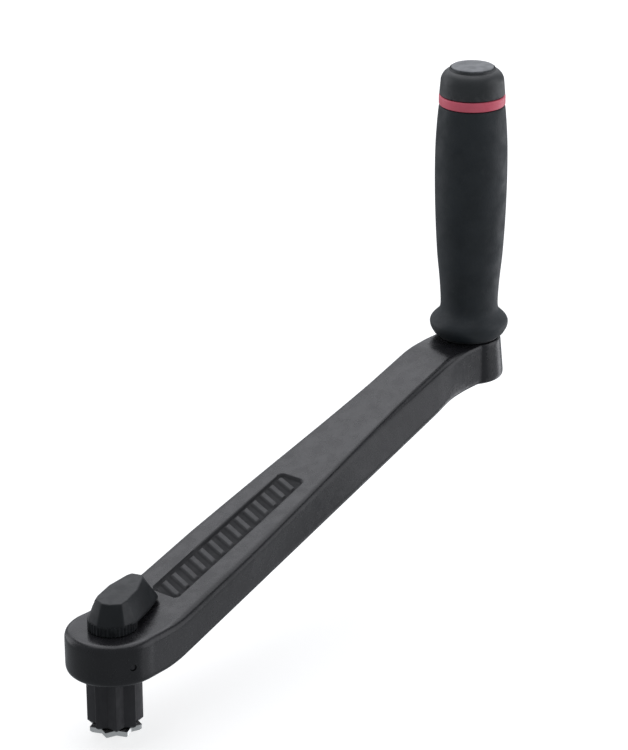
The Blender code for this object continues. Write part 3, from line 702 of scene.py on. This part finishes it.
def fluted(turn, radius):
    """The skirt's fine vertical flutes."""
    return radius - SKIRT_FLUTE_DEPTH * (0.5 + 0.5 * cos(turn * SKIRT_FLUTES))


def edges_softened(obj):
    bevel = obj.modifiers.new("edges", "BEVEL")
    bevel.width = LEVER_EDGE
    bevel.segments = 4
    bevel.limit_method = "ANGLE"
    bevel.angle_limit = radians(LEVER_EDGE_ANGLE)
    return applied(obj)


def build_lever():
    """The faceted thumb lever, with softened edges over a fluted skirt."""
    skirt_bottom, top = heights_of("lock_lever")
    skirt_top = LEVER_BASE + LEVER_SHOULDER
    rings = [
        lever_ring(LEVER_BASE_OUTLINE, LEVER_BASE),
        lever_ring(LEVER_BASE_OUTLINE, skirt_top),
        lever_ring(LEVER_RIDGE_OUTLINE, top),
    ]
    lever = edges_softened(loft("thumb_lever", rings, matrix=Matrix.Rotation(LEVER_ANGLE, 4, "Z")))
    side = [(SKIRT_RADIUS, skirt_top), (SKIRT_RADIUS, skirt_bottom)]
    section = [(0.0, skirt_top), *side, (0.0, skirt_bottom)]
    joined(lever, lathe("skirt", section, steps=SKIRT_FLUTES * SKIRT_FLUTE_STEPS, ripple=fluted))
    spindle_hole = (SPINDLE_HOLE_RADIUS, LEVER_HOLLOW_TOP)
    hollow = (LEVER_HOLLOW_RADIUS, skirt_bottom - SLIGHTLY_PAST)
    across = LEVER_ANGLE + pi / 2
    cut(
        lever,
        stepped("hollow", SPINDLE_HOLE_TOP, [spindle_hole, hollow]),
        side_hole("grub", across, GRUB_HEIGHT, GRUB_HOLE_START, GRUB_HOLE_END, GRUB_HOLE_RADIUS),
    )
    shade(lever, SHARP_ON_LEVER)
    return put(lever, "lock", "black_nylon", "lock_lever")


# The grip


def build_sleeve():
    bottom, top = heights_of("grip_sleeve")
    outside = [(r * MM, bottom + z * MM) for r, z in SLEEVE_OUTLINE]
    profile = [(SLEEVE_BORE, bottom), *smooth_line(outside, SLEEVE_STEPS), (SLEEVE_BORE, top)]
    sleeve = lathe("soft_grip", profile, axis_of("grip_sleeve"))
    return put(sleeve, "grip", "grip_rubber", "grip_sleeve")


def build_ring():
    bottom, top = heights_of("accent_ring")
    profile = [(SLEEVE_BORE, top)]
    profile += top_corner(RING_RADIUS, top, RING_EDGE, 5)
    profile += bottom_corner(RING_RADIUS, bottom, RING_EDGE, 5)
    profile.append((SLEEVE_BORE, bottom))
    ring = lathe("ring_band", profile, axis_of("accent_ring"))
    return put(ring, "grip", "red_plastic", "accent_ring")


def build_cap():
    """The domed cap, its spigot, and the recess for the disc."""
    spigot_bottom, top = heights_of("grip_cap")
    bottom = heights_of("accent_ring")[1] + CAP_BOTTOM_ABOVE_RING
    floor = heights_of("cap_disc")[1] - DISC_RECESS
    recess = radius_of("cap_disc") + DISC_RECESS_GAP
    profile = [(0.0, floor), (recess, floor), (recess, top - CAP_EDGE), (recess + CAP_EDGE, top)]
    profile += arc(CAP_RIM_RADIUS - CAP_CROWN, floor - CAP_CROWN, CAP_CROWN, CAP_CROWN_ANGLE, 0, 16)
    profile += [
        (CAP_FOOT_RADIUS, bottom + CAP_EDGE),
        (CAP_FOOT_RADIUS - CAP_EDGE, bottom),
        (CAP_SPIGOT, bottom),
        (CAP_SPIGOT, spigot_bottom),
        (CAP_SPIGOT_BORE, spigot_bottom),
        (CAP_SPIGOT_BORE, bottom + CAP_ROOF),
        (0.0, bottom + CAP_ROOF),
    ]
    return put(lathe("cap_shell", profile, axis_of("grip_cap")), "grip", "grey_nylon", "grip_cap")


def build_disc():
    """The disc let into the cap, very slightly domed."""
    bottom, top = heights_of("cap_disc")
    radius = radius_of("cap_disc")
    profile = [(0.0, top + DISC_DOME), (radius / 2, top + DISC_SHOULDER_RISE)]
    profile += top_corner(radius, top, DISC_EDGE, 5)
    profile += [(radius, bottom), (0.0, bottom)]
    return put(lathe("cap_badge", profile, axis_of("cap_disc")), "grip", "grey_disc", "cap_disc")


def build_nut():
    """A hexagon nut with its corners turned off at both faces."""
    bottom, top = heights_of("spindle_nut")
    centre = axis_of("spindle_nut")
    corner = radius_of("spindle_nut")
    flat = corner * cos(pi / 6)
    angles = [i * pi / 3 for i in range(6)]
    hexagon = [(centre[0] + corner * cos(a), centre[1] + corner * sin(a)) for a in angles]
    nut = prism("hex_nut", hexagon, bottom, top)
    cone_section = [
        (0.0, top + NUT_CONE_ABOVE),
        (flat, top + NUT_CONE_ABOVE),
        (corner + NUT_CONE_OUTSIDE, top - NUT_CHAMFER),
        (corner + NUT_CONE_OUTSIDE, bottom + NUT_CHAMFER),
        (flat, bottom - NUT_CONE_ABOVE),
        (0.0, bottom - NUT_CONE_ABOVE),
    ]
    joined(nut, lathe("nut_cone", cone_section, centre, SMALL_STEPS), operation="INTERSECT")
    cut(nut, stepped("nut_bore", top + SLIGHTLY_PAST, [(BORE_RADIUS, bottom - SLIGHTLY_PAST)], centre))
    return put(shade(nut, SHARP_ON_FLATS), "arm_body", "stainless", "spindle_nut")


# Finishes

NOISE_ROUGHNESS = 0.55
PATCH_RANGE = 0.35, 0.65  # where in its noise a patch of colour starts and is full
WANDER_RANGE = 0.3, 0.7  # the same for roughness and streaks
WEAR_SIZE = 2.5 * MM
WEAR_RANGE = 0.4, 0.62


class Finish:
    """A Principled material, built up from procedural nodes in object space."""

    def __init__(self, name, roughness, metallic=0.0, specular=0.5):
        self.material = bpy.data.materials.new(name)
        self.material.use_nodes = True
        self.tree = self.material.node_tree
        self.shader = self.tree.nodes["Principled BSDF"]
        self.shader.inputs["Metallic"].default_value = metallic
        self.shader.inputs["Roughness"].default_value = roughness
        self.shader.inputs["Specular IOR Level"].default_value = specular
        self.place = self.tree.nodes.new("ShaderNodeTexCoord").outputs["Object"]
        self.normal = None

    def feed(self, value, socket):
        """Links another node's output to the socket, or sets it to a number, a vector or a colour."""
        if isinstance(value, bpy.types.NodeSocket):
            self.tree.links.new(value, socket)
        elif socket.type == "RGBA":
            socket.default_value = (*value, 1.0)
        else:
            socket.default_value = value

    def node(self, kind, **inputs):
        made = self.tree.nodes.new(kind)
        for key, value in inputs.items():
            self.feed(value, made.inputs[key.replace("_", " ")])
        return made

    def noise(self, size, detail=3.0, stretch=None):
        """Noise from 0 to 1, with features about this size in metres."""
        place = self.place
        if stretch:
            place = self.node("ShaderNodeMapping", Vector=place, Scale=stretch).outputs["Vector"]
        made = self.node("ShaderNodeTexNoise", Vector=place, Scale=1.0 / size, Detail=detail)
        made.inputs["Roughness"].default_value = NOISE_ROUGHNESS
        return made.outputs["Fac"]

    def stipple(self, size):
        """A field of dots, about this far apart."""
        made = self.node("ShaderNodeTexVoronoi", Vector=self.place, Scale=1.0 / size)
        return made.outputs["Distance"]

    def attribute(self, name):
        made = self.tree.nodes.new("ShaderNodeAttribute")
        made.attribute_name = name
        return made.outputs["Fac"]

    def ramp(self, value, start, end, low=0.0, high=1.0):
        """value from start to end becomes low to high, held outside."""
        limits = {"From_Min": start, "From_Max": end, "To_Min": low, "To_Max": high}
        made = self.node("ShaderNodeMapRange", Value=value, **limits)
        made.interpolation_type = "SMOOTHSTEP"
        return made.outputs["Result"]

    def maths(self, operation, one, two):
        made = self.tree.nodes.new("ShaderNodeMath")
        made.operation = operation
        self.feed(one, made.inputs[0])
        self.feed(two, made.inputs[1])
        return made.outputs[0]

    def times(self, one, two):
        return self.maths("MULTIPLY", one, two)

    def plus(self, one, two):
        return self.maths("ADD", one, two)

    def blend(self, amount, one, two):
        """A colour between one and two, each a colour or a socket."""
        made = self.tree.nodes.new("ShaderNodeMix")
        made.data_type = "RGBA"
        colour_a, colour_b = made.inputs[6], made.inputs[7]
        self.feed(amount, made.inputs["Factor"])
        self.feed(one, colour_a)
        self.feed(two, colour_b)
        return made.outputs[2]

    def patches(self, one, two, size, detail=3.0):
        """Soft patches of two colours, about this size."""
        return self.blend(self.ramp(self.noise(size, detail), *PATCH_RANGE), one, two)

    def worn(self, base, colour, amount, start=0.51, end=0.58):
        """base with this colour on its sharp outer edges, broken up by noise."""
        pointed = self.tree.nodes.new("ShaderNodeNewGeometry").outputs["Pointiness"]
        broken = self.ramp(self.noise(WEAR_SIZE), *WEAR_RANGE)
        edges = self.times(self.ramp(pointed, start, end), broken)
        return self.blend(self.times(edges, amount), base, colour)

    def colour(self, value):
        self.feed(value, self.shader.inputs["Base Color"])

    def roughness(self, low, high, size, more=None):
        """Roughness that wanders from low to high over patches of this size, with more added to it."""
        value = self.ramp(self.noise(size, detail=4.0), *WANDER_RANGE, low, high)
        if more:
            value = self.plus(value, more)
        self.feed(value, self.shader.inputs["Roughness"])

    def bump(self, height, distance, strength=1.0):
        """Adds a height from 0 to 1, this many metres tall, over what is there."""
        made = self.node("ShaderNodeBump", Height=height, Distance=distance, Strength=strength)
        if self.normal:
            self.feed(self.normal, made.inputs["Normal"])
        self.normal = made.outputs["Normal"]
        self.feed(self.normal, self.shader.inputs["Normal"])


def forged_arm():
    """Black-coated forging: a fine skin, faint colour drift, paler worn edges, and a duller panel whose
    darker colour is painted shade in the recess.
    """
    black, soft_black = (0.011, 0.0108, 0.0125), (0.016, 0.0157, 0.018)
    speck, bare, recess_painted_shade = (0.026, 0.0255, 0.029), (0.07, 0.07, 0.075), (0.008, 0.008, 0.0095)
    look = Finish("forged_arm", 0.45, specular=0.45)
    base = look.patches(black, soft_black, 18 * MM, detail=2.0)
    specks = look.ramp(look.noise(0.9 * MM, detail=2.0), 0.55, 0.7, high=0.5)
    base = look.blend(specks, base, speck)
    base = look.worn(base, bare, 0.4, 0.52, 0.62)
    # In the panel the colour is darkened as painted shade in the recess, and the roughness is raised for a
    # duller finish
    sunk = look.attribute("panel")
    look.colour(look.blend(sunk, base, recess_painted_shade))
    look.roughness(0.2, 0.31, 6 * MM, more=look.times(sunk, 0.46))
    look.bump(look.noise(0.7 * MM, detail=4.0), 0.045 * MM)
    look.bump(look.noise(9 * MM, detail=2.0), 0.25 * MM, strength=0.6)
    return look.material


def blackened_steel():
    """Fine upright streaks from machining, with a few paler rubs."""
    dark, less_dark, rubbed = (0.024, 0.023, 0.026), (0.031, 0.030, 0.033), (0.045, 0.044, 0.047)
    look = Finish("blackened_steel", 0.45, metallic=0.2)
    streaks = look.noise(1.6 * MM, stretch=(1.0, 1.0, 0.12))
    base = look.blend(look.ramp(streaks, *WANDER_RANGE), dark, less_dark)
    rubs = look.ramp(look.noise(5 * MM, detail=4.0), 0.5, 0.75, high=0.4)
    look.colour(look.blend(rubs, base, rubbed))
    look.roughness(0.36, 0.52, 3 * MM)
    look.bump(streaks, 0.02 * MM)
    return look.material


def stainless():
    steel, bright_steel = (0.74, 0.74, 0.73), (0.84, 0.84, 0.82)
    look = Finish("stainless", 0.28, metallic=1.0)
    look.colour(look.blend(look.noise(4 * MM), steel, bright_steel))
    look.roughness(0.2, 0.36, 2 * MM)
    look.bump(look.noise(0.5 * MM, detail=2.0, stretch=(1.0, 1.0, 0.15)), 0.01 * MM)
    return look.material


def bronze():
    brown, gold = (0.42, 0.26, 0.11), (0.58, 0.38, 0.17)
    look = Finish("bronze", 0.4, metallic=1.0)
    look.colour(look.blend(look.noise(3 * MM), brown, gold))
    look.roughness(0.3, 0.5, 2 * MM)
    look.bump(look.noise(0.4 * MM), 0.015 * MM)
    return look.material


def seal_rubber():
    black, soft_black = (0.012, 0.012, 0.012), (0.02, 0.02, 0.02)
    look = Finish("seal_rubber", 0.55)
    look.colour(look.blend(look.noise(2 * MM), black, soft_black))
    look.roughness(0.45, 0.65, 1.5 * MM)
    look.bump(look.noise(0.3 * MM), 0.01 * MM)
    return look.material


def black_nylon():
    """Glass-filled nylon: fine moulded grain, a little paler where thumbs rub it."""
    black, soft_black, rubbed = (0.009, 0.0105, 0.012), (0.013, 0.015, 0.017), (0.04, 0.043, 0.046)
    look = Finish("black_nylon", 0.46, specular=0.36)
    look.colour(look.worn(look.patches(black, soft_black, 9 * MM), rubbed, 0.5))
    look.roughness(0.34, 0.48, 4 * MM)
    look.bump(look.noise(0.45 * MM), 0.03 * MM)
    return look.material


def acetal():
    cream, pale_cream = (0.66, 0.65, 0.60), (0.74, 0.73, 0.68)
    look = Finish("acetal", 0.45)
    look.colour(look.blend(look.noise(6 * MM), cream, pale_cream))
    look.roughness(0.38, 0.52, 3 * MM)
    look.bump(look.noise(0.5 * MM), 0.01 * MM)
    return look.material


def grip_rubber():
    """Soft rubber with a fine stipple, faint dust and slightly shiny patches."""
    blue_black, soft_black, dusty = (0.013, 0.0175, 0.021), (0.018, 0.0235, 0.028), (0.035, 0.037, 0.039)
    look = Finish("grip_rubber", 0.6, specular=0.55)
    dust = look.ramp(look.noise(3 * MM, detail=5.0), 0.55, 0.75, high=0.35)
    look.colour(look.blend(dust, look.patches(blue_black, soft_black, 14 * MM, detail=2.0), dusty))
    look.roughness(0.5, 0.68, 8 * MM)
    look.bump(look.stipple(0.9 * MM), 0.035 * MM)
    look.bump(look.noise(0.4 * MM, detail=2.0), 0.02 * MM)
    return look.material


def red_plastic():
    red, light_red = (0.90, 0.145, 0.21), (0.95, 0.17, 0.24)
    look = Finish("red_plastic", 0.4)
    look.colour(look.patches(red, light_red, 5 * MM))
    look.roughness(0.32, 0.46, 3 * MM)
    look.bump(look.noise(0.5 * MM), 0.015 * MM)
    return look.material


def grey_nylon():
    grey, soft_grey, rubbed = (0.016, 0.0185, 0.020), (0.023, 0.026, 0.028), (0.08, 0.082, 0.085)
    look = Finish("grey_nylon", 0.5, specular=0.7)
    look.colour(look.worn(look.patches(grey, soft_grey, 8 * MM), rubbed, 0.5))
    look.roughness(0.42, 0.56, 4 * MM)
    look.bump(look.noise(0.45 * MM), 0.03 * MM)
    return look.material


def grey_disc():
    grey, pale_grey = (0.12, 0.126, 0.135), (0.21, 0.217, 0.228)
    look = Finish("grey_disc", 0.5)
    look.colour(look.patches(grey, pale_grey, 4 * MM))
    look.roughness(0.4, 0.55, 2 * MM)
    look.bump(look.noise(0.5 * MM), 0.02 * MM)
    return look.material


MATERIALS = {
    "forged_arm": forged_arm(),
    "blackened_steel": blackened_steel(),
    "stainless": stainless(),
    "bronze": bronze(),
    "seal_rubber": seal_rubber(),
    "black_nylon": black_nylon(),
    "acetal": acetal(),
    "grip_rubber": grip_rubber(),
    "red_plastic": red_plastic(),
    "grey_nylon": grey_nylon(),
    "grey_disc": grey_disc(),
}


def finish_frame():
    """Each CAD node takes the finish of its slot in the record, also where a finer piece hides it."""
    for row in frame["record"]["subparts"]:
        node = frame["nodes"][row["node"]]
        node.data.materials.clear()
        node.data.materials.append(MATERIALS[row["material_slot"]])


# The studio


def build_floor(bottom):
    """A pale floor under the handle. Reflections and bounced light leave it out, and it casts no shadow,
    because two of the softboxes reach below it."""
    bm = bmesh.new()
    bmesh.ops.create_grid(bm, x_segments=FLOOR_GRID, y_segments=FLOOR_GRID, size=FLOOR_SIZE / 2)
    floor = object_of("floor", bm)
    floor.location.z = bottom - FLOOR_DIP
    material = bpy.data.materials.new("floor")
    material.use_nodes = True
    shader = material.node_tree.nodes["Principled BSDF"]
    shader.inputs["Base Color"].default_value = (*FLOOR_COLOUR, 1.0)
    shader.inputs["Roughness"].default_value = FLOOR_ROUGHNESS
    shader.inputs["Specular IOR Level"].default_value = 0.0
    shader.inputs["Emission Color"].default_value = (1.0, 1.0, 1.0, 1.0)
    shader.inputs["Emission Strength"].default_value = FLOOR_GLOW
    floor.data.materials.append(material)
    floor.visible_glossy = False
    floor.visible_diffuse = False
    floor.visible_shadow = False


def build_world():
    world = bpy.data.worlds.new("studio")
    world.use_nodes = True
    sky = world.node_tree.nodes["Background"]
    sky.inputs["Color"].default_value = (*WORLD_COLOUR, 1.0)
    sky.inputs["Strength"].default_value = WORLD_STRENGTH
    bpy.context.scene.world = world


def softbox(name, place, target, size, radiance):
    """A rectangle of even light at place, facing target."""
    width, height = size
    light = bpy.data.lights.new(name, "AREA")
    light.shape = "RECTANGLE"
    light.size = width
    light.size_y = height
    light.color = LIGHT_COLOUR
    light.energy = radiance * width * height * pi
    box = bpy.data.objects.new(name, light)
    box.location = place
    box.rotation_euler = (target - place).to_track_quat("-Z", "Y").to_euler()
    box.visible_camera = False
    bpy.context.scene.collection.objects.link(box)


def view_axes():
    """The camera's right, up and back directions."""
    flat = cos(CAMERA_ELEVATION)
    back = Vector((sin(CAMERA_AZIMUTH) * flat, -cos(CAMERA_AZIMUTH) * flat, sin(CAMERA_ELEVATION)))
    level = Vector((cos(CAMERA_AZIMUTH), sin(CAMERA_AZIMUTH), 0.0))
    upright = back.cross(level)
    right = level * cos(CAMERA_ROLL) + upright * sin(CAMERA_ROLL)
    up = upright * cos(CAMERA_ROLL) - level * sin(CAMERA_ROLL)
    return right, up, back


def build_lights(middle):
    """Softboxes overhead, behind and at the two sides, placed by the directions the camera sees."""
    right, _, back = view_axes()
    level = Vector((right.x, right.y, 0.0)).normalized()
    away = Vector((-back.x, -back.y, 0.0)).normalized()
    high = Vector((0.0, 0.0, 1.0))
    for name, ((beside, beyond, above), size, radiance) in SOFTBOXES.items():
        place = middle + level * beside + away * beyond + high * above
        softbox(name, place, middle, size, radiance)


def build_camera():
    right, up, back = view_axes()
    place = back * CAMERA_DISTANCE + right * CAMERA_AIM_RIGHT + up * CAMERA_AIM_UP
    data = bpy.data.cameras.new("camera")
    data.lens = CAMERA_LENS
    data.sensor_width = CAMERA_SENSOR
    data.clip_start = CAMERA_CLIP_START
    data.clip_end = CAMERA_CLIP_END
    camera = bpy.data.objects.new("camera", data)
    camera.matrix_world = Matrix.Translation(place) @ Matrix((right, up, back)).transposed().to_4x4()
    bpy.context.scene.collection.objects.link(camera)
    bpy.context.scene.camera = camera


def main():
    low, high = (Vector(corner) for corner in CAD_BOX)
    finish_frame()
    build_arm()
    build_stud()
    build_lock_star()
    build_lever()
    build_sleeve()
    build_ring()
    build_cap()
    build_disc()
    build_nut()
    build_floor(low.z)
    build_world()
    build_lights((low + high) / 2)
    build_camera()
    bpy.context.scene.view_settings.view_transform = "Standard"


main()
